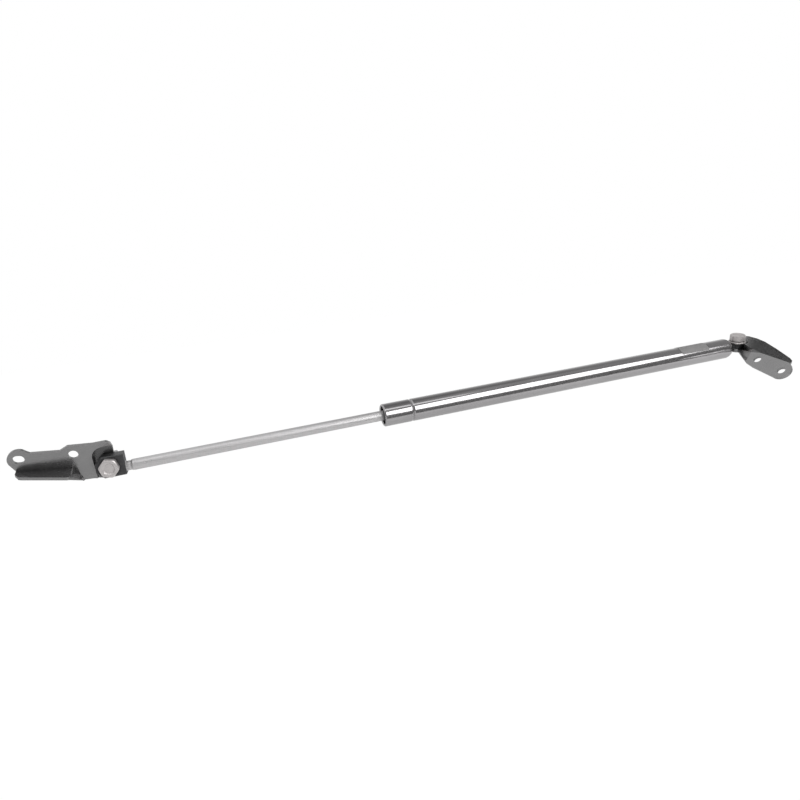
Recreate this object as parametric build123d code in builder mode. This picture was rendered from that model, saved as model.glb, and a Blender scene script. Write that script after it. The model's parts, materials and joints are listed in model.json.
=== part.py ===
from build123d import *
from math import cos, sin, radians
import os

# Gas strut, rod fully out, with a sheet steel bracket bolted on at each end.
# Row frame: origin in the middle of the rod bracket's round mounting hole,
# X along the strut from rod end to cylinder end, Y away from the front, Z up.
# The strut frame has the same directions; its zero is the point of the strut
# axis that lies under the rod-side pivot bolt. Names ending in _X are strut stations.

os.makedirs("parts", exist_ok=True)

# ---------------------------------------------------------------- dimensions
PIVOT_SPAN = 548.4          # pivot to pivot
FIT = 0.02                  # radial clearance of close-fitting parts
OVERCUT = 1.0               # cutters start and end this far outside the eyes

TUBE_R = 9.0                # cylinder outside
TUBE_BORE_R = 7.8
TUBE_OPEN_X = 200.0         # rod end of the cylinder
TUBE_CLOSED_X = 538.0
TUBE_CORNER = 6.0           # length of the rounded closed corner
TUBE_HOLE_R = 4.3           # hole in the closed end
TUBE_END_T = 1.4            # wall of the closed end
GROOVE_X = 223.6            # middle of the rolled groove
GROOVE_D = 0.75
GROOVE_HALF = 1.4           # half its length
PLUG_X = 521.0
PLUG_L = 10.0
PLUG_BORE_R = 4.15

LABEL_X = 480.5
LABEL_L = 29.0
LABEL_T = 0.12
LABEL_FROM, LABEL_TO = 24, 108      # degrees from the front, upwards

ROD_R = 4.0
SEAL_WASHER_X = 217.3
PISTON_X = 229.0
PISTON_END_X = 237.0
PISTON_R = 7.4
PISTON_BORE_R = 3.06        # also the bore of the disc and washer beside it
RING_GROOVE_R = 6.0
PORT_R, PORT_PITCH_R = 0.6, 4.6     # three holes through the piston

BOLT_R = 3.98               # shank
BOLT_CHAMFER = 0.8
HEAD_AF = 12.0
HEAD_T = 5.1
HEAD_CORNER_R = 2.0
HOLE_R = 4.1                # clearance hole for the bolts
BUSH_BORE_R = 4.03
BUSH_PROUD = 0.1            # bushes stand out of their eyes on both sides

EYE_OFF = 2.8               # rod-side bore sits this far above the strut axis
BLOCK_X0, BLOCK_X1 = -9.2, 9.8
BLOCK_H = 15.0
BLOCK_D = 12.0
BLOCK_CORNER = 4.6          # large chamfers at the far end from the rod
BLOCK_BEVEL = 0.6
BLOCK_BORE_R = 5.5
SOCKET_X = 6.3              # rod socket in the block
SOCKET_L = 10.0
ROD_BOLT_L = 24.0
NUT_FLAT_R = 6.5            # half across flats
NUT_T = 6.5

SHEET = 2.3                 # bracket steel
MOUNT_R = 3.2               # mounting holes of both brackets
SEAT_Y = 7.0                # rod bracket seat face behind the eye block
PLATE_TILT = 16.0           # mounting plate leans from the seat plane
PLATE_Y = 3.5               # tilted front face crosses the bolt axis here
MOUNT_HOLE = (-21.6, 15.6)  # round mounting hole, in the leaning plate's plane
MOUNT_SLOT = (-54.6, 19.4)

EYE_LEAN = 10.9             # cylinder-side bolt leans forward from +Z
EYE_R = 6.4
EYE_BORE_R = 4.6
EYE_LO, EYE_HI = -0.7, 3.6  # eye plate, measured along the bolt from the strut axis
STUD_X, STUD_R = 522.0, 4.1 # eye stud inside the cylinder
TUBE_BOLT_H = EYE_HI + 1.6  # underside of the bolt flange
TAB_H = 4.5                 # top face of the cylinder-side bracket
FLOOR_H = -0.9              # its seat face under the eye
SEAT_R = 6.7
BOSS_R, BOSS_T = 5.4, 1.3   # burred tapped boss under the seat
WALL_IN_R = 9.0             # drawn wall round the seat
WALL_OUT_R = WALL_IN_R + SHEET
WEB_BEND = 38.0
BRACKET_X = 2.1             # drawing zero of that bracket, beyond the bolt along the strut

# ---------------------------------------------------------------- frames
tilt_cos, tilt_sin = cos(radians(PLATE_TILT)), sin(radians(PLATE_TILT))
# strut-frame zero expressed in the row frame
STRUT_X = -MOUNT_HOLE[0]
STRUT_Y = -(PLATE_Y - MOUNT_HOLE[1] * tilt_sin + SHEET / 2 * tilt_cos)
STRUT_Z = -(MOUNT_HOLE[1] * tilt_cos + SHEET / 2 * tilt_sin)
STRUT_AXIS = Axis((STRUT_X, STRUT_Y, STRUT_Z), (1, 0, 0))

lean_cos, lean_sin = cos(radians(EYE_LEAN)), sin(radians(EYE_LEAN))
ALONG = Vector(1, 0, 0)
BOLT_UP = Vector(0, -lean_sin, lean_cos)    # cylinder-side bolt direction
BOLT_BACK = Vector(0, lean_cos, lean_sin)   # square to it, away from the front
EYE_CENTRE = Vector(STRUT_X + PIVOT_SPAN, STRUT_Y, STRUT_Z)


def front_plane(y, rise=0):
    """Faces the front (-Y); local x = X, local y = Z."""
    return Plane(origin=(STRUT_X, STRUT_Y + y, STRUT_Z + rise), x_dir=(1, 0, 0), z_dir=(0, -1, 0))


def pivot_plane(y):
    """Front plane centred on the rod-side bolt."""
    return front_plane(y, EYE_OFF)


def across_plane(x):
    """Faces the cylinder end (+X); local x = Y, local y = Z."""
    return Plane(origin=(STRUT_X + x, STRUT_Y, STRUT_Z), x_dir=(0, 1, 0), z_dir=(1, 0, 0))


def eye_plane(height):
    """Square to the cylinder-side bolt and centred on it."""
    return Plane(origin=EYE_CENTRE + BOLT_UP * height, x_dir=(1, 0, 0), z_dir=BOLT_UP)


STRUT = front_plane(0)
PLATE = Plane(
    origin=(STRUT_X, STRUT_Y + PLATE_Y, STRUT_Z),
    x_dir=(1, 0, 0),
    z_dir=(0, -tilt_cos, -tilt_sin),
)


# ---------------------------------------------------------------- shared shapes
def save(name, part):
    part.label = name
    export_step(part, "parts/" + name + ".step")


def turned(*profiles, plane=STRUT, axis=STRUT_AXIS):
    """Revolve closed profiles of (station, radius) points."""
    with BuildPart() as body:
        for profile in profiles:
            with BuildSketch(plane):
                with BuildLine():
                    Polyline(*profile, close=True)
                make_face()
            revolve(axis=axis)
    return body.part


def ring(plane, outer, inner, thickness, bevel=0, outer_only=False):
    """Flat ring, with its circular edges (or only the outer two) bevelled."""
    with BuildPart() as body:
        with BuildSketch(plane):
            Circle(outer)
            Circle(inner, mode=Mode.SUBTRACT)
        extrude(amount=thickness)
        if bevel:
            circles = body.edges().filter_by(GeomType.CIRCLE)
            if outer_only:
                circles = circles.sort_by(SortBy.RADIUS)[-2:]
            chamfer(circles, bevel)
    return body.part


# cutter that trims the six corners of a bolt head and dishes its top
HEAD_CLEAR = HEAD_T + 0.01
DISH_FLOOR = HEAD_T - 0.55
HEAD_TRIM = turned(
    [(5.7, HEAD_CLEAR), (8.0, HEAD_CLEAR), (8.0, HEAD_T - 1.35)],
    [(0, DISH_FLOOR), (3.3, DISH_FLOOR), (4.1, HEAD_CLEAR), (0, HEAD_CLEAR)],
    plane=Plane.XZ,
    axis=Axis.Z,
)


def flange_bolt(base, shank, flange_r, flange_t, head_turn):
    """Bolt whose flange sits on the base plane, head along the plane's normal."""
    head_base = base.offset(flange_t)
    with BuildPart() as bolt:
        with BuildSketch(base):
            Circle(flange_r)
        extrude(amount=flange_t)
        with BuildSketch(head_base) as hexagon:
            RegularPolygon(
                radius=HEAD_AF / 2, side_count=6, major_radius=False, rotation=head_turn
            )
            fillet(hexagon.vertices(), HEAD_CORNER_R)
        extrude(amount=HEAD_T)
        with BuildSketch(base):
            Circle(BOLT_R)
        extrude(amount=-shank)
        bolt_axis = Axis(origin=(0, 0, 0), direction=base.z_dir)
        chamfer(bolt.faces().sort_by(bolt_axis)[0].edges(), BOLT_CHAMFER)
        add(head_base.location * HEAD_TRIM, mode=Mode.SUBTRACT)
    return bolt.part


# ================================================================ cylinder
with BuildPart() as cylinder_tube:
    with BuildSketch(STRUT):
        with BuildLine():
            start, end = TUBE_OPEN_X, TUBE_CLOSED_X
            inside = end - TUBE_END_T
            groove0, groove1 = GROOVE_X - GROOVE_HALF, GROOVE_X + GROOVE_HALF
            # rolled-in lip at the open end
            Polyline((start + 0.9, 7.2), (start + 0.2, 7.5), (start, 7.9))
            ThreePointArc((start, 7.9), (start + 0.32, 8.68), (start + 1.1, TUBE_R))
            # outside, with the groove and the rounded closed end
            Line((start + 1.1, TUBE_R), (groove0, TUBE_R))
            Spline((groove0, TUBE_R), (GROOVE_X, TUBE_R - GROOVE_D), (groove1, TUBE_R),
                   tangents=((1, 0), (1, 0)))
            Line((groove1, TUBE_R), (end - TUBE_CORNER, TUBE_R))
            Spline((end - TUBE_CORNER, TUBE_R), (end - 1.76, TUBE_R - 1.29), (end, TUBE_R - 4.4),
                   tangents=((1, 0), (0, -1)))
            Polyline((end, TUBE_R - 4.4), (end, TUBE_HOLE_R), (inside, TUBE_HOLE_R), (inside, 4.5))
            # inside, back to the lip
            Spline((inside, 4.5), (end - 2.9, 6.7), (end - 6.4, TUBE_BORE_R),
                   tangents=((0, 1), (-1, 0)))
            Line((end - 6.4, TUBE_BORE_R), (groove1, TUBE_BORE_R))
            Spline((groove1, TUBE_BORE_R), (GROOVE_X, TUBE_BORE_R - GROOVE_D),
                   (groove0, TUBE_BORE_R), tangents=((-1, 0), (-1, 0)))
            Polyline((groove0, TUBE_BORE_R), (start + 2.0, TUBE_BORE_R), (start + 0.9, 7.2))
        make_face()
    revolve(axis=STRUT_AXIS)
save("cylinder_tube", cylinder_tube.part)

with BuildPart() as tube_end_plug:
    with BuildSketch(across_plane(PLUG_X)):
        Circle(TUBE_BORE_R - FIT)
        Circle(PLUG_BORE_R, mode=Mode.SUBTRACT)
    extrude(amount=PLUG_L)
    plug_circles = tube_end_plug.edges().filter_by(GeomType.CIRCLE)
    chamfer(plug_circles.group_by(Axis.X)[0].sort_by(SortBy.RADIUS)[-1], 0.8)
save("tube_end_plug", tube_end_plug.part)


def label_point(radius, degrees):
    return (-radius * cos(radians(degrees)), radius * sin(radians(degrees)))


# blank label wrapped over the upper front of the cylinder
with BuildPart() as tube_label:
    with BuildSketch(across_plane(LABEL_X)):
        with BuildLine():
            label_mid = (LABEL_FROM + LABEL_TO) / 2
            inner = [label_point(TUBE_R, a) for a in (LABEL_FROM, label_mid, LABEL_TO)]
            outer = [label_point(TUBE_R + LABEL_T, a) for a in (LABEL_TO, label_mid, LABEL_FROM)]
            ThreePointArc(*inner)
            Line(inner[-1], outer[0])
            ThreePointArc(*outer)
            Line(outer[-1], inner[0])
        make_face()
    extrude(amount=LABEL_L)
save("tube_label", tube_label.part)

# ---------------------------------------------------------------- closure at the open end
# profiles: station along the strut, radius
GUIDE_PROFILE = [
    (203.4, 4.9), (204.1, 4.05), (211.9, 4.05), (211.9, 7.0), (211.2, 7.7), (204.0, 7.7),
    (203.4, 7.1),
]
SEAL_PROFILE = [
    (212.0, 4.6), (212.6, 4.04), (214.2, 4.04), (216.6, 5.0), (217.0, 5.9), (215.6, 6.4),
    (217.0, 6.9), (216.8, 7.6), (216.0, 7.72), (212.6, 7.72), (212.0, 7.2),
]
save("rod_guide", turned(GUIDE_PROFILE))
save("rod_seal", turned(SEAL_PROFILE))
save("seal_support_washer",
     ring(across_plane(SEAL_WASHER_X), outer=7.7, inner=4.3, thickness=2.6))

# ---------------------------------------------------------------- cylinder-side eye
with BuildPart() as tube_end_eye:
    # stud, collar and neck: station, radius, length
    for station, radius, length in (
        (STUD_X, STUD_R, TUBE_CLOSED_X - STUD_X),
        (TUBE_CLOSED_X, 5.2, 0.6),
        (TUBE_CLOSED_X, 4.2, 1.9),
    ):
        with BuildSketch(across_plane(station)):
            Circle(radius)
        extrude(amount=length)
    # flat eye with a shoulder towards the neck
    with BuildSketch(eye_plane(EYE_LO)):
        Circle(EYE_R)
        with Locations((-6.6, 0)):
            Rectangle(6.4, 8.8)
    extrude(amount=EYE_HI - EYE_LO)
    with BuildSketch(eye_plane(EYE_LO - OVERCUT)):
        Circle(EYE_BORE_R)
    extrude(amount=EYE_HI - EYE_LO + 2 * OVERCUT, mode=Mode.SUBTRACT)
save("tube_end_eye", tube_end_eye.part)

save("tube_end_bush",
     ring(eye_plane(EYE_LO - BUSH_PROUD), outer=EYE_BORE_R - FIT, inner=BUSH_BORE_R,
          thickness=EYE_HI - EYE_LO + 2 * BUSH_PROUD, bevel=0.12))
save("tube_end_bolt",
     flange_bolt(eye_plane(TUBE_BOLT_H), shank=TUBE_BOLT_H - FLOOR_H + SHEET + BOSS_T,
                 flange_r=5.5, flange_t=0.9, head_turn=8))
save("tube_end_washer",
     ring(eye_plane(EYE_HI + 0.15), outer=7.5, inner=HOLE_R, thickness=1.4,
          bevel=0.35, outer_only=True))

# ---------------------------------------------------------------- cylinder-side bracket
# plan coordinates: x along the strut, y away from the front, zero BRACKET_X beyond the bolt
BEND_START = Vector(-10.2, -35.2)
BEND_END = Vector(-11.0, -66.0)
BOLT_PLAN = (-BRACKET_X, 0)
STEP_CORNER = (-3.1, -9.7)          # upper plate meets the drawn wall
STEP_CORNER_BACK = (-0.8, -10.4)
STEP_END = (-7.3, -23.5)
STEP_END_BACK = (-5.0, -24.2)
FLOOR_CORNER = (-5.3, -5.2)
TAB_OUTLINE = [
    STEP_CORNER, STEP_END, (BEND_START.X, BEND_START.Y), (BEND_END.X, BEND_END.Y),
    (-5.0, -62.4), (-1.1, -56.8), (9.4, -33.5), (17.6, -12.9), (19.6, -2.0), (18.8, 7.0),
    (16.1, 10.0), (12.0, 10.6), (6.0, 8.2),
]
TAB_ROUNDED = [(-1.1, -56.8), (9.4, -33.5), (18.8, 7.0), (12.0, 10.6)]
WALL_SECTOR = [(0, 0), (-5.3, -16.6), (26, -20), (26, 24)]     # limits the drawn wall

# web coordinates: distance along the bend, distance down the slope
WEB_OUTLINE = [
    (0.0, 0.0), (9.2 * -1, 2.3), (-5.5, 13.2), (3.0, 14.9), (18.5, 16.2), (30.4, 17.2),
    (37.4, 9.2), (35.6, 4.0), (33.0, 1.5), (29.6, 0.0),
]
WEB_HOLES = [(2.1, 6.9), (29.4, 9.2)]
WEB_LUG_R = 8.0                     # round lug about the second hole


def to_world(x, y, height):
    return EYE_CENTRE + ALONG * (BRACKET_X + x) + BOLT_BACK * y + BOLT_UP * height


def plan_plane(height):
    return Plane(origin=to_world(0, 0, height), x_dir=(1, 0, 0), z_dir=BOLT_UP)


bend_plan = (BEND_END - BEND_START).normalized()
BEND_DIR = ALONG * bend_plan.X + BOLT_BACK * bend_plan.Y
bend_side = ALONG * bend_plan.Y - BOLT_BACK * bend_plan.X      # towards the rod end
SLOPE_DIR = bend_side * cos(radians(WEB_BEND)) - BOLT_UP * sin(radians(WEB_BEND))
WEB_UP = SLOPE_DIR.cross(BEND_DIR)
WEB_ORIGIN = to_world(BEND_START.X, BEND_START.Y, TAB_H)
# local x runs along the bend, local y up the slope, so slope distances are negated
WEB = Plane(origin=WEB_ORIGIN, x_dir=BEND_DIR, z_dir=WEB_UP)


def plan_corner(upper, lower, height):
    """Matching points on the top and underside of a level sheet."""
    return to_world(*upper, height), to_world(*lower, height - SHEET)


def web_corner(along, down):
    """Matching points on the top and underside of the web."""
    upper = WEB_ORIGIN + BEND_DIR * along + SLOPE_DIR * down
    return upper, upper - WEB_UP * SHEET


def triangle(*corners):
    return Face(Wire.make_polygon(list(corners), close=True))


def wedge(*corners):
    """Solid between two triangles, from three (upper, lower) corner pairs.

    Each side is split along the same diagonal as its neighbour's.
    """
    faces = [triangle(*level) for level in zip(*corners)]
    for i in range(3):
        pair = [corners[i], corners[(i + 1) % 3]]
        pair.sort(key=lambda corner: (round(corner[0].X, 3), round(corner[0].Y, 3)))
        (upper_a, lower_a), (upper_b, lower_b) = pair
        faces.append(triangle(upper_a, upper_b, lower_a))
        faces.append(triangle(upper_b, lower_b, lower_a))
    return Solid(Shell(faces))


# corners of the drawn transition
step_near = plan_corner(STEP_CORNER, STEP_CORNER_BACK, TAB_H)
step_far = plan_corner(STEP_END, STEP_END_BACK, TAB_H)
floor_near = plan_corner(FLOOR_CORNER, FLOOR_CORNER, FLOOR_H)
floor_far = plan_corner(STEP_CORNER, STEP_CORNER_BACK, FLOOR_H)
web_top = web_corner(*WEB_OUTLINE[1])
web_low = web_corner(*WEB_OUTLINE[2])
web_bend = web_corner(*WEB_OUTLINE[0])

with BuildPart() as tube_bracket:
    # upper plate
    with BuildSketch(plan_plane(TAB_H)) as tab:
        with BuildLine():
            Polyline(*TAB_OUTLINE, close=True)
        make_face()
        with Locations(BOLT_PLAN):
            Circle(WALL_IN_R, mode=Mode.SUBTRACT)
        fillet(tab.vertices().filter_by(
            lambda corner: any(abs(corner.X - x) + abs(corner.Y - y) < 0.1
                               for x, y in TAB_ROUNDED)), 1.5)
    extrude(amount=-SHEET)
    # seat under the eye, joined to the wall on the side away from the rod
    with BuildSketch(plan_plane(FLOOR_H)):
        with Locations(BOLT_PLAN):
            Circle(WALL_OUT_R)
        with BuildLine():
            Polyline(*WALL_SECTOR, close=True)
        make_face(mode=Mode.INTERSECT)
        with Locations(BOLT_PLAN):
            Circle(SEAT_R)
        with BuildLine():
            Polyline((0, 0), FLOOR_CORNER, STEP_CORNER, (0, STEP_CORNER[1]), close=True)
        make_face()
    extrude(amount=-SHEET)
    # drawn wall between the seat and the upper plate
    with BuildSketch(plan_plane(FLOOR_H - SHEET)):
        with Locations(BOLT_PLAN):
            Circle(WALL_OUT_R)
            Circle(WALL_IN_R, mode=Mode.SUBTRACT)
        with BuildLine():
            Polyline(*WALL_SECTOR, close=True)
        make_face(mode=Mode.INTERSECT)
    extrude(amount=TAB_H - FLOOR_H + SHEET)
    # wall and run-out from the seat to the web
    for corners in (
        (step_near, step_far, floor_far),
        (step_far, web_top, floor_far),
        (floor_near, floor_far, web_top),
        (floor_near, web_top, web_low),
        (step_far, web_bend, web_top),
    ):
        add(wedge(*corners))
    # burred boss under the seat
    with BuildSketch(plan_plane(FLOOR_H - SHEET)):
        with Locations(BOLT_PLAN):
            Circle(BOSS_R)
    extrude(amount=-BOSS_T)
    with BuildSketch(plan_plane(10)):
        with Locations(BOLT_PLAN):
            Circle(BOLT_R + FIT)
    extrude(amount=-30, mode=Mode.SUBTRACT)
    # sloping web with its two holes
    web_holes = [(along, -down) for along, down in WEB_HOLES]
    with BuildSketch(WEB):
        with BuildLine():
            Polyline(*[(along, -down) for along, down in WEB_OUTLINE], close=True)
        make_face()
        with Locations(web_holes[1]):
            Circle(WEB_LUG_R)
        with Locations(*web_holes):
            Circle(MOUNT_R, mode=Mode.SUBTRACT)
    extrude(amount=-SHEET)
save("tube_bracket", tube_bracket.part)

# ================================================================ rod and piston
# profiles: station along the strut, radius
ROD_PROFILE = [
    (6.6, 0), (6.6, 3.4), (7.2, 3.97), (9.9, 3.97), (10.4, 3.45), (13.2, 3.45),
    (14.4, ROD_R), (227.6, ROD_R), (228.0, 3.6), (228.0, 3.0), (238.8, 3.0), (238.8, 3.9),
    (239.6, 3.9), (240.4, 2.6), (240.4, 0),
]
PISTON_PROFILE = [
    (PISTON_X, PISTON_BORE_R), (PISTON_END_X, PISTON_BORE_R), (PISTON_END_X, 7.0),
    (236.6, PISTON_R), (234.0, PISTON_R), (234.0, RING_GROOVE_R), (231.0, RING_GROOVE_R),
    (231.0, PISTON_R), (229.4, PISTON_R), (PISTON_X, 7.0),
]
# centres of the staking marks, from the strut zero
STAKING_MARKS = [(23.2, -4.55, 0.9), (26.6, -4.5, 1.2), (24.6, -4.4, -2.2)]

with BuildPart() as piston_rod:
    add(turned(ROD_PROFILE))
    with Locations(*[(STRUT_X + x, STRUT_Y + y, STRUT_Z + z) for x, y, z in STAKING_MARKS]):
        Sphere(1.05, mode=Mode.SUBTRACT)
save("piston_rod", piston_rod.part)

with BuildPart() as piston:
    add(turned(PISTON_PROFILE))
    with BuildSketch(across_plane(PISTON_X - 1)):
        with PolarLocations(PORT_PITCH_R, 3):
            Circle(PORT_R)
    extrude(amount=PISTON_END_X - PISTON_X + 2, mode=Mode.SUBTRACT)
save("piston", piston.part)

save("piston_ring",
     ring(across_plane(231.1), outer=7.75, inner=RING_GROOVE_R + 0.05, thickness=2.8,
          bevel=0.3, outer_only=True))
save("piston_valve_disc",
     ring(across_plane(228.05), outer=6.6, inner=PISTON_BORE_R, thickness=0.9))
save("piston_washer",
     ring(across_plane(PISTON_END_X + 0.05), outer=6.2, inner=PISTON_BORE_R, thickness=1.6))

# ================================================================ rod-side eye block
with BuildPart() as rod_end_block:
    with BuildSketch(pivot_plane(-BLOCK_D / 2)) as block:
        with Locations(((BLOCK_X0 + BLOCK_X1) / 2, 0)):
            Rectangle(BLOCK_X1 - BLOCK_X0, BLOCK_H)
        chamfer(block.vertices().group_by(Axis.X)[0], BLOCK_CORNER)
    extrude(amount=-BLOCK_D)
    for side in (0, -1):
        chamfer(rod_end_block.faces().sort_by(Axis.Y)[side].edges(), BLOCK_BEVEL)
    with BuildSketch(pivot_plane(-BLOCK_D / 2 - OVERCUT)):
        Circle(BLOCK_BORE_R)
    extrude(amount=-BLOCK_D - 2 * OVERCUT, mode=Mode.SUBTRACT)
    with BuildSketch(across_plane(SOCKET_X)):
        Circle(ROD_R)
    extrude(amount=SOCKET_L, mode=Mode.SUBTRACT)
save("rod_end_block", rod_end_block.part)

save("rod_end_bush",
     ring(pivot_plane(-BLOCK_D / 2 - BUSH_PROUD), outer=BLOCK_BORE_R - FIT, inner=BUSH_BORE_R,
          thickness=-BLOCK_D - 2 * BUSH_PROUD, bevel=0.2))
save("rod_end_bolt",
     flange_bolt(pivot_plane(-BLOCK_D / 2 - 0.2), shank=ROD_BOLT_L,
                 flange_r=5.75, flange_t=0.5, head_turn=47))
save("rod_end_washer",
     ring(pivot_plane(SEAT_Y), outer=7.2, inner=HOLE_R, thickness=0.8))

with BuildPart() as rod_end_nut:
    with BuildSketch(pivot_plane(SEAT_Y + SHEET)):
        RegularPolygon(radius=NUT_FLAT_R, side_count=6, major_radius=False)
        Circle(4.0, mode=Mode.SUBTRACT)
    extrude(amount=-NUT_T)
save("rod_end_nut", rod_end_nut.part)

# ---------------------------------------------------------------- rod-side bracket
# outlines: x along the strut, y up, both from the strut zero
FLANGE_PATH = [(-58.4, 11.3), (-24.2, 6.1), (-18.2, -5.5)]     # in the leaning plate
CUP_OUTLINE = [
    (-13.4, -5.6), (-13.4, 12.0), (-7.0, 19.2), (-0.8, 19.2), (1.6, 17.6), (2.6, 14.6),
    (2.5, 10.4), (6.4, 8.6), (7.5, 5.4), (7.6, 0), (7.0, -4.4), (3.5, -6.6), (-4.0, -7.6),
]
POCKET_OUTLINE = [(-10.8, -12), (-10.8, 16.8), (16, 16.8), (16, -12)]
# side view of the flange: x along the strut, height in front of the plate
FLANGE_FOOT = -SHEET - 0.1
FLANGE_OUTLINE = [
    (-62.0, FLANGE_FOOT), (-60.5, 1.0), (-56.2, 8.0), (-54.6, 8.6), (-27.2, 13.2),
    (-25.7, 13.0), (-20.7, 0.1), (-20.0, -0.7), (-17.8, -0.9), (-17.8, FLANGE_FOOT),
]
FLANGE_SIDE = Plane(origin=PLATE.origin, x_dir=(1, 0, 0), z_dir=PLATE.y_dir * -1)

# drawn cup that carries the seat face, trimmed to the leaning plate
with BuildPart() as cup:
    with BuildSketch(front_plane(SEAT_Y + SHEET)):
        with BuildLine():
            Polyline(*CUP_OUTLINE, close=True)
        make_face()
    extrude(amount=SEAT_Y + SHEET + 8)
    split(bisect_by=PLATE, keep=Keep.BOTTOM)

# stiffening flange towards the front that wraps round the slanted corner and fades out
with BuildPart() as flange:
    with BuildSketch(PLATE.offset(-SHEET)):
        with BuildLine() as path:
            Polyline(*FLANGE_PATH)
            fillet(path.vertices().sort_by(Axis.X)[1], 1.5)
            offset(path.line, amount=SHEET, side=Side.RIGHT, closed=True)
        make_face()
    extrude(amount=24)
    with BuildSketch(FLANGE_SIDE.offset(-30)):
        with BuildLine():
            Polyline(*FLANGE_OUTLINE, close=True)
        make_face()
    extrude(amount=60, mode=Mode.INTERSECT)

with BuildPart() as rod_bracket:
    # leaning mounting plate
    with BuildSketch(PLATE):
        with BuildLine():
            Polyline(FLANGE_PATH[0], (-61.3, 17.0))
            ThreePointArc((-61.3, 17.0), (-59.4, 24.3), (-53.9, 26.5))
            ThreePointArc((-53.9, 26.5), (-51.3, 26.0), (-49.3, 24.4))
            Polyline((-49.3, 24.4), (-47.0, 22.6), (-29.2, 20.2), (-23.8, 22.8),
                     (-18.3, 22.2), (-8.0, 21.1), (-0.8, 21.2))
            ThreePointArc((-0.8, 21.2), (2.4, 19.5), (3.7, 16.0))
            Polyline((3.7, 16.0), (3.0, 11.0), (2.0, -6.3), (-9.0, -6.1), *FLANGE_PATH[::-1])
        make_face()
    extrude(amount=-SHEET)
    add(flange.part)
    add(cup.part)
    # pocket in front of the seat
    with BuildSketch(front_plane(SEAT_Y)) as pocket:
        with BuildLine():
            Polyline(*POCKET_OUTLINE, close=True)
        make_face()
        fillet(pocket.vertices().sort_by(Axis.X)[:2].sort_by(Axis.Y)[-1], 7.5)
    extrude(amount=30, mode=Mode.SUBTRACT)
    # bolt hole, then the mounting slot and hole
    with BuildSketch(pivot_plane(-30)):
        Circle(HOLE_R)
    extrude(amount=-60, mode=Mode.SUBTRACT)
    with BuildSketch(PLATE.offset(5)):
        with Locations(MOUNT_SLOT):
            SlotOverall(7.3, 6.0, rotation=-8)
        with Locations(MOUNT_HOLE):
            Circle(MOUNT_R)
    extrude(amount=-20, mode=Mode.SUBTRACT)
save("rod_bracket", rod_bracket.part)
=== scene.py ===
import bpy
import json
import math
from mathutils import Matrix, Vector


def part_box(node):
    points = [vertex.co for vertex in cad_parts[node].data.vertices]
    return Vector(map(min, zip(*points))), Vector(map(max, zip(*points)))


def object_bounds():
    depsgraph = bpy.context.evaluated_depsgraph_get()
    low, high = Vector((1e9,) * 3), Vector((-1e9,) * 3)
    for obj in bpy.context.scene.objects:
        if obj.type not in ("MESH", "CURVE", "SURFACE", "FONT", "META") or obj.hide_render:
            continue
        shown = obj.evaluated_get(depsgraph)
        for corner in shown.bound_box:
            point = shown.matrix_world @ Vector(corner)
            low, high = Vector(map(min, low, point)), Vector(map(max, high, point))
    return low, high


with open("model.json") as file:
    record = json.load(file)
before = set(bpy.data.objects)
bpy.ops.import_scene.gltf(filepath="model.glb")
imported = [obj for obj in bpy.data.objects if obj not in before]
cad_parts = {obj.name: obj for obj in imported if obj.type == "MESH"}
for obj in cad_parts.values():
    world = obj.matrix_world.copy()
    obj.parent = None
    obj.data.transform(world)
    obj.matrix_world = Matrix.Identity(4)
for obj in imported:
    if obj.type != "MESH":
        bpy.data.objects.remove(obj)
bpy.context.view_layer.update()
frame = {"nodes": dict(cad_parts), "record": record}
nodes = frame["nodes"]

# ------------------------------------------------------------------ helpers


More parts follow.
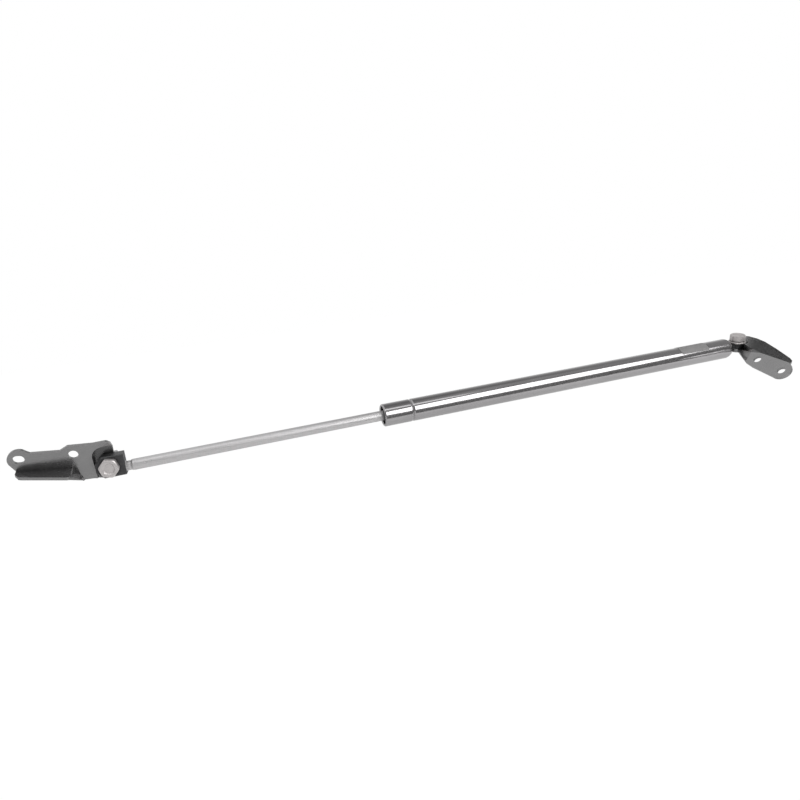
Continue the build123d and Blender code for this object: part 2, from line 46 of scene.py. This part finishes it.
class Net:
    """Small builder for a procedural material."""

    def __init__(self, name):
        self.mat = bpy.data.materials.new(name)
        self.mat.use_nodes = True
        self.t = self.mat.node_tree
        self.t.nodes.clear()
        self.out = self.t.nodes.new("ShaderNodeOutputMaterial")
        self.bsdf = self.t.nodes.new("ShaderNodeBsdfPrincipled")
        self.t.links.new(self.bsdf.outputs[0], self.out.inputs[0])
        self.co = self.t.nodes.new("ShaderNodeTexCoord")

    def n(self, kind, **props):
        node = self.t.nodes.new(kind)
        for k, v in props.items():
            setattr(node, k, v)
        return node

    def link(self, a, b):
        self.t.links.new(a, b)

    def mapped(self, scale, rot=(0, 0, 0), loc=(0, 0, 0)):
        m = self.n("ShaderNodeMapping")
        m.inputs["Scale"].default_value = scale
        m.inputs["Rotation"].default_value = rot
        m.inputs["Location"].default_value = loc
        self.link(self.co.outputs["Object"], m.inputs["Vector"])
        return m.outputs[0]

    def noise(self, scale, detail=4.0, rough=0.55, stretch=(1, 1, 1), rot=(0, 0, 0), distortion=0.0, loc=(0, 0, 0)):
        x = self.n("ShaderNodeTexNoise")
        x.inputs["Scale"].default_value = scale
        x.inputs["Detail"].default_value = detail
        x.inputs["Roughness"].default_value = rough
        x.inputs["Distortion"].default_value = distortion
        self.link(self.mapped(stretch, rot, loc), x.inputs["Vector"])
        return x.outputs[0]

    def voronoi(self, scale, stretch=(1, 1, 1), feature="F1", out="Distance"):
        x = self.n("ShaderNodeTexVoronoi", feature=feature)
        x.inputs["Scale"].default_value = scale
        self.link(self.mapped(stretch), x.inputs["Vector"])
        return x.outputs[out]

    def ramp(self, fac, stops):
        r = self.n("ShaderNodeValToRGB")
        el = r.color_ramp.elements
        while len(el) < len(stops):
            el.new(0.5)
        for e, (p, c) in zip(el, stops):
            e.position = p
            e.color = (c, c, c, 1) if isinstance(c, (int, float)) else (*c, 1)
        self.link(fac, r.inputs[0])
        return r.outputs[0]

    def rng(self, v, a, b, c, d):
        m = self.n("ShaderNodeMapRange")
        m.inputs["From Min"].default_value = a
        m.inputs["From Max"].default_value = b
        m.inputs["To Min"].default_value = c
        m.inputs["To Max"].default_value = d
        self.link(v, m.inputs["Value"])
        return m.outputs[0]

    def math(self, op, a, b=None, clamp=False):
        m = self.n("ShaderNodeMath", operation=op, use_clamp=clamp)
        for i, v in enumerate((a, b)):
            if v is None:
                continue
            if isinstance(v, (int, float)):
                m.inputs[i].default_value = v
            else:
                self.link(v, m.inputs[i])
        return m.outputs[0]

    def mix(self, fac, a, b):
        m = self.n("ShaderNodeMix", data_type="RGBA")
        for sock, v in (("Factor", fac), ("A", a), ("B", b)):
            s = [i for i in m.inputs if i.name == sock and (i.type == "RGBA" or sock == "Factor")][0]
            if isinstance(v, (int, float)):
                s.default_value = v
            elif isinstance(v, tuple):
                s.default_value = (*v, 1)
            else:
                self.link(v, s)
        return [o for o in m.outputs if o.type == "RGBA"][0]

    def bump(self, height, strength, dist=0.0002, normal=None):
        b = self.n("ShaderNodeBump")
        b.inputs["Strength"].default_value = strength
        b.inputs["Distance"].default_value = dist
        self.link(height, b.inputs["Height"])
        if normal is not None:
            self.link(normal, b.inputs["Normal"])
        return b.outputs[0]

    def set(self, name, v):
        s = self.bsdf.inputs[name]
        if isinstance(v, (int, float)):
            s.default_value = v
        elif isinstance(v, tuple):
            s.default_value = (*v, 1)
        else:
            self.link(v, s)


def metal(name, dark, light, metallic, rough, grain=(1, 1, 1), grain_scale=900.0, grain_bump=0.08,
          blotch=60.0, wear=None, wear_amt=0.0, painted_corner_shade=0.75, coat=0.0, coat_rough=0.1, pits=0.0):
    """Metal with a directional grain, slow blotches, worn spots and pits."""
    m = Net(name)
    slow = m.noise(blotch, 5, 0.6)
    fine = m.noise(grain_scale, 6, 0.7, stretch=grain)
    spots = m.noise(blotch * 7.0, 8, 0.75, loc=(3.1, 1.7, 9.2))
    base = m.mix(m.rng(slow, 0.3, 0.7, 0, 1), dark, light)
    base = m.mix(m.rng(fine, 0.35, 0.65, 0.0, 0.35), base, tuple(c * 0.72 for c in dark))
    if wear is not None:
        base = m.mix(m.rng(spots, 0.60, 0.70, 0.0, wear_amt), base, wear)
    # painted shade: ambient occlusion darkens the base colour in corners and where pieces sit close together
    ao = m.n("ShaderNodeAmbientOcclusion", samples=8)
    ao.inputs["Distance"].default_value = 0.009
    base = m.mix(m.rng(ao.outputs["AO"], 0.25, 0.9, painted_corner_shade, 0.0), base, tuple(c * 0.22 for c in dark))
    m.set("Base Color", base)
    m.set("Metallic", metallic)
    r = m.math("ADD", m.rng(slow, 0.3, 0.7, rough * 0.82, rough * 1.15), m.rng(fine, 0.3, 0.7, -0.04, 0.05))
    r = m.math("ADD", r, m.rng(spots, 0.58, 0.72, 0.0, 0.08), clamp=True)
    m.set("Roughness", r)
    nrm = m.bump(fine, grain_bump, 0.00012)
    if pits:
        nrm = m.bump(m.rng(spots, 0.35, 0.5, 0.0, 1.0), pits, 0.0002, nrm)
    m.set("Normal", nrm)
    if coat:
        m.set("Coat Weight", coat)
        m.set("Coat Roughness", coat_rough)
    return m.mat


mats = {
    # the corner-shade argument sets how strong the painted shade in corners is
    "tube_paint": metal("tube_paint", (0.49, 0.478, 0.486), (0.55, 0.538, 0.546), 0.95, 0.11, grain=(0.04, 1, 1),
                        grain_scale=1600, grain_bump=0.025, blotch=28, painted_corner_shade=0.35, coat=0.6, coat_rough=0.08),
    "rod_chrome": metal("rod_chrome", (0.76, 0.75, 0.755), (0.84, 0.83, 0.835), 0.9, 0.47, grain=(1, 0.02, 0.02),
                        grain_scale=5200, grain_bump=0.03, blotch=22),
    "bracket_steel": metal("bracket_steel", (0.355, 0.352, 0.354), (0.395, 0.392, 0.394), 0.95, 0.22, grain=(0.25, 1, 1),
                           grain_scale=1500, grain_bump=0.04, blotch=70, wear=(0.42, 0.42, 0.41), wear_amt=0.25, pits=0.05),
    "dark_steel": metal("dark_steel", (0.085, 0.085, 0.088), (0.13, 0.13, 0.135), 0.65, 0.48, grain_scale=1300,
                        grain_bump=0.25, blotch=110, wear=(0.28, 0.28, 0.28), wear_amt=0.35, pits=0.12),
    "zinc_steel": metal("zinc_steel", (0.74, 0.70, 0.695), (0.82, 0.785, 0.775), 0.5, 0.34, grain_scale=1700,
                        grain_bump=0.08, blotch=140, wear=(0.42, 0.41, 0.40), wear_amt=0.3),
    "label_film": metal("label_film", (0.31, 0.305, 0.305), (0.35, 0.345, 0.345), 0.0, 0.6, grain_scale=2600,
                        grain_bump=0.05, blotch=80),
    "guide_plastic": metal("guide_plastic", (0.03, 0.03, 0.031), (0.045, 0.045, 0.046), 0.0, 0.5, grain_scale=1800,
                           grain_bump=0.1, blotch=120),
    "seal_rubber": metal("seal_rubber", (0.016, 0.016, 0.016), (0.024, 0.024, 0.024), 0.0, 0.7, grain_scale=1400,
                         grain_bump=0.15, blotch=160),
    "piston_aluminium": metal("piston_aluminium", (0.58, 0.585, 0.59), (0.66, 0.665, 0.67), 1.0, 0.33,
                              grain=(1, 0.05, 0.05), grain_scale=3000, grain_bump=0.1, blotch=90),
}
slots = {s["node"]: s["material_slot"] for s in frame["record"]["subparts"]}
for name, ob in nodes.items():
    m = mats[slots[name]]
    if not ob.material_slots:
        ob.data.materials.append(m)
    for s in ob.material_slots:
        s.material = m

# ------------------------------------------------------------------ stage
lo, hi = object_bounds()
tube_lo, tube_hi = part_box("cylinder_tube")
ay, az = (tube_lo.y + tube_hi.y) / 2, (tube_lo.z + tube_hi.z) / 2
zero = Vector((tube_lo.x - 0.200, ay, az))          # strut axis under the rod-side pivot

th, ps, e = math.radians(15.87), math.radians(10.8), math.radians(9.0)
F, T0 = 640.0, 504.7
t0 = Vector(((382.5 - 400) / F * T0, (400 - 415.52) / F * T0, T0)) / 1000
a = Vector((math.cos(th) * math.cos(ps), math.cos(th) * math.sin(ps), math.sin(th)))
up = Vector((0, 1, 0))
fwd = Vector((0, 0, 1))
U = (up - a * up.dot(a)).normalized()
W = (fwd - a * fwd.dot(a) - U * fwd.dot(U)).normalized()
Z = (U * math.cos(e) - W * math.sin(e)).normalized()
Y = (U * math.sin(e) + W * math.cos(e)).normalized()
cam_pos = zero + Vector((0.200 - t0.dot(a), -t0.dot(Y), -t0.dot(Z)))
right = Vector((a.x, Y.x, Z.x))
cup = Vector((a.y, Y.y, Z.y))
cfw = Vector((a.z, Y.z, Z.z))
cam = bpy.data.cameras.new("cam")
cam.lens = 28.8
cam.sensor_width = 36.0
cam.clip_start = 0.01
cam_ob = bpy.data.objects.new("cam", cam)
bpy.context.collection.objects.link(cam_ob)
rot = Matrix((right, cup, -cfw)).transposed()
cam_ob.matrix_world = Matrix.Translation(cam_pos) @ rot.to_4x4()
bpy.context.scene.camera = cam_ob

mid = (lo + hi) / 2


def panel(name, pos, aim, sx, sy, power, roll=0.0, shape="RECTANGLE", colour=(1, 1, 1)):
    l = bpy.data.lights.new(name, "AREA")
    l.shape = shape
    l.size, l.size_y = sx, sy
    l.energy = power
    l.color = colour
    o = bpy.data.objects.new(name, l)
    bpy.context.collection.objects.link(o)
    z = (Vector(pos) - Vector(aim)).normalized()
    x = Vector((1, 0, 0)) - z * z.x
    x.normalize()
    y = z.cross(x)
    x, y = x * math.cos(roll) + y * math.sin(roll), y * math.cos(roll) - x * math.sin(roll)
    o.visible_camera = False
    o.matrix_world = Matrix.Translation(Vector(pos)) @ Matrix((x, y, z)).transposed().to_4x4()
    return o


panel("front", mid + Vector((0.92, -1.35, 0.78)), mid + Vector((0.92, 0, 0)), 1.85, 1.12, 14, roll=math.radians(40), shape="ELLIPSE")
panel("fill", mid + Vector((-0.2, -0.9, 1.9)), mid, 2.2, 0.5, 3.2)

floor_z = lo.z - 0.34
mesh = bpy.data.meshes.new("floor")
s = 6.0
mesh.from_pydata([(-s, -s, floor_z), (s, -s, floor_z), (s, s, floor_z), (-s, s, floor_z)], [], [(0, 1, 2, 3)])
floor = bpy.data.objects.new("floor", mesh)
bpy.context.collection.objects.link(floor)
fm = Net("floor_paper")
fm.set("Base Color", fm.mix(fm.noise(2.0, 3), (0.90, 0.90, 0.90), (0.93, 0.93, 0.93)))
fm.set("Roughness", 0.9)
flp = fm.n("ShaderNodeLightPath")
fem = fm.n("ShaderNodeEmission")
fem.inputs[0].default_value = (1.0, 1.0, 1.0, 1)
fem.inputs[1].default_value = 1.05
fmx = fm.n("ShaderNodeMixShader")
fm.link(fm.math("MULTIPLY", flp.outputs["Is Camera Ray"], 0.93), fmx.inputs[0])
fm.link(fm.bsdf.outputs[0], fmx.inputs[1])
fm.link(fem.outputs[0], fmx.inputs[2])
fm.link(fmx.outputs[0], fm.out.inputs[0])
floor.data.materials.append(fm.mat)

# dark card under the camera: gives the round metal its dark line below the highlight
cmesh = bpy.data.meshes.new("card")
cy = cam_pos.y - 0.12
cx = zero.x + 0.24
cmesh.from_pydata([(cx, cy, floor_z + 0.001), (2.2, cy, floor_z + 0.001), (2.2, cy, az + 0.4), (zero.x + 1.12, cy, az + 0.40),
                   (zero.x + 0.99, cy, az + 0.24), (zero.x + 0.86, cy, az - 0.02), (cx, cy, az - 0.075)], [], [(0, 1, 2, 3, 4, 5, 6)])
card = bpy.data.objects.new("card", cmesh)
bpy.context.collection.objects.link(card)
cmat = Net("card_felt")
cmat.set("Base Color", cmat.mix(cmat.noise(40.0, 4), (0.24, 0.24, 0.24), (0.28, 0.28, 0.28)))
cmat.set("Roughness", 0.95)
card.data.materials.append(cmat.mat)
card.visible_shadow = False
card.visible_diffuse = False
card.visible_camera = False

hood_mesh = bpy.data.meshes.new("hood")
hc = zero + Vector((0.565, -0.03, 0.004)) + Vector((0.724, 0.563, 0.398)) * 0.22
hx = Vector((0.614, -0.79, 0)) * 0.055
hy = Vector((-0.31, -0.24, 0.92)) * 0.05
hood_mesh.from_pydata([hc - hx * 0.62 - hy, hc + hx * 1.1 - hy, hc + hx * 1.1 + hy, hc - hx * 0.62 + hy], [], [(0, 1, 2, 3)])
hood = bpy.data.objects.new("hood", hood_mesh)
bpy.context.collection.objects.link(hood)
hmat = Net("hood_felt")
hmat.set("Base Color", hmat.mix(hmat.noise(60.0, 4), (0.10, 0.10, 0.10), (0.13, 0.13, 0.13)))
hmat.set("Roughness", 0.95)
hood.data.materials.append(hmat.mat)
hood.visible_shadow = False
hood.visible_diffuse = False
hood.visible_camera = False

world = bpy.data.worlds.new("studio")
bpy.context.scene.world = world
world.use_nodes = True
wt = world.node_tree
wt.nodes.clear()
wo = wt.nodes.new("ShaderNodeOutputWorld")
bg = wt.nodes.new("ShaderNodeBackground")
bg_cam = wt.nodes.new("ShaderNodeBackground")
mixs = wt.nodes.new("ShaderNodeMixShader")
lp = wt.nodes.new("ShaderNodeLightPath")
tc = wt.nodes.new("ShaderNodeTexCoord")
sep = wt.nodes.new("ShaderNodeSeparateXYZ")
wt.links.new(tc.outputs["Generated"], sep.inputs[0])


def world_ramp(value, stops):
    r = wt.nodes.new("ShaderNodeValToRGB")
    el = r.color_ramp.elements
    while len(el) < len(stops):
        el.new(0.5)
    for e_, (p, c) in zip(el, stops):
        e_.position = p
        e_.color = (c, c, c, 1)
    wt.links.new(value, r.inputs[0])
    return r.outputs[0]


rear = world_ramp(sep.outputs["Z"], [(0.0, 1.0), (0.2, 0.95), (0.42, 0.8), (0.6, 0.45), (0.78, 0.34), (0.9, 0.2), (1.0, 0.2)])
front = world_ramp(sep.outputs["Z"], [(0.0, 0.28), (0.4, 0.28), (0.7, 0.34), (0.79, 0.36), (0.9, 0.5), (0.96, 0.3), (1.0, 0.2)])
side = wt.nodes.new("ShaderNodeMapRange")
side.interpolation_type = "SMOOTHSTEP"
side.inputs["From Min"].default_value = -0.15
side.inputs["From Max"].default_value = 0.35
wt.links.new(sep.outputs["Y"], side.inputs["Value"])
blend = wt.nodes.new("ShaderNodeMix")
blend.data_type = "RGBA"
wt.links.new(side.outputs[0], blend.inputs[0])
wt.links.new(front, blend.inputs[6])
wt.links.new(rear, blend.inputs[7])
# pale ceiling towards -X, seen by the web of the far bracket and the flange of the near one
left = wt.nodes.new("ShaderNodeMapRange")
left.interpolation_type = "SMOOTHSTEP"
left.inputs["From Min"].default_value = 0.0
left.inputs["From Max"].default_value = 0.2
left.inputs["To Min"].default_value = 0.85
left.inputs["To Max"].default_value = 0.0
wt.links.new(sep.outputs["X"], left.inputs["Value"])
high = wt.nodes.new("ShaderNodeMapRange")
high.interpolation_type = "SMOOTHSTEP"
high.inputs["From Min"].default_value = 0.5
high.inputs["From Max"].default_value = 0.8
wt.links.new(sep.outputs["Z"], high.inputs["Value"])
both = wt.nodes.new("ShaderNodeMath")
both.operation = "MULTIPLY"
wt.links.new(left.outputs[0], both.inputs[0])
wt.links.new(high.outputs[0], both.inputs[1])
shade = wt.nodes.new("ShaderNodeMix")
shade.data_type = "RGBA"
wt.links.new(both.outputs[0], shade.inputs[0])
wt.links.new(blend.outputs[2], shade.inputs[6])
shade.inputs[7].default_value = (1.0, 1.0, 1.0, 1)
wt.links.new(shade.outputs[2], bg.inputs[0])
bg.inputs[1].default_value = 0.8
bg_cam.inputs[0].default_value = (1.0, 1.0, 1.0, 1)
bg_cam.inputs[1].default_value = 1.0
wt.links.new(lp.outputs["Is Camera Ray"], mixs.inputs[0])
wt.links.new(bg.outputs[0], mixs.inputs[1])
wt.links.new(bg_cam.outputs[0], mixs.inputs[2])
wt.links.new(mixs.outputs[0], wo.inputs[0])
bpy.context.scene.view_settings.view_transform = "Standard"
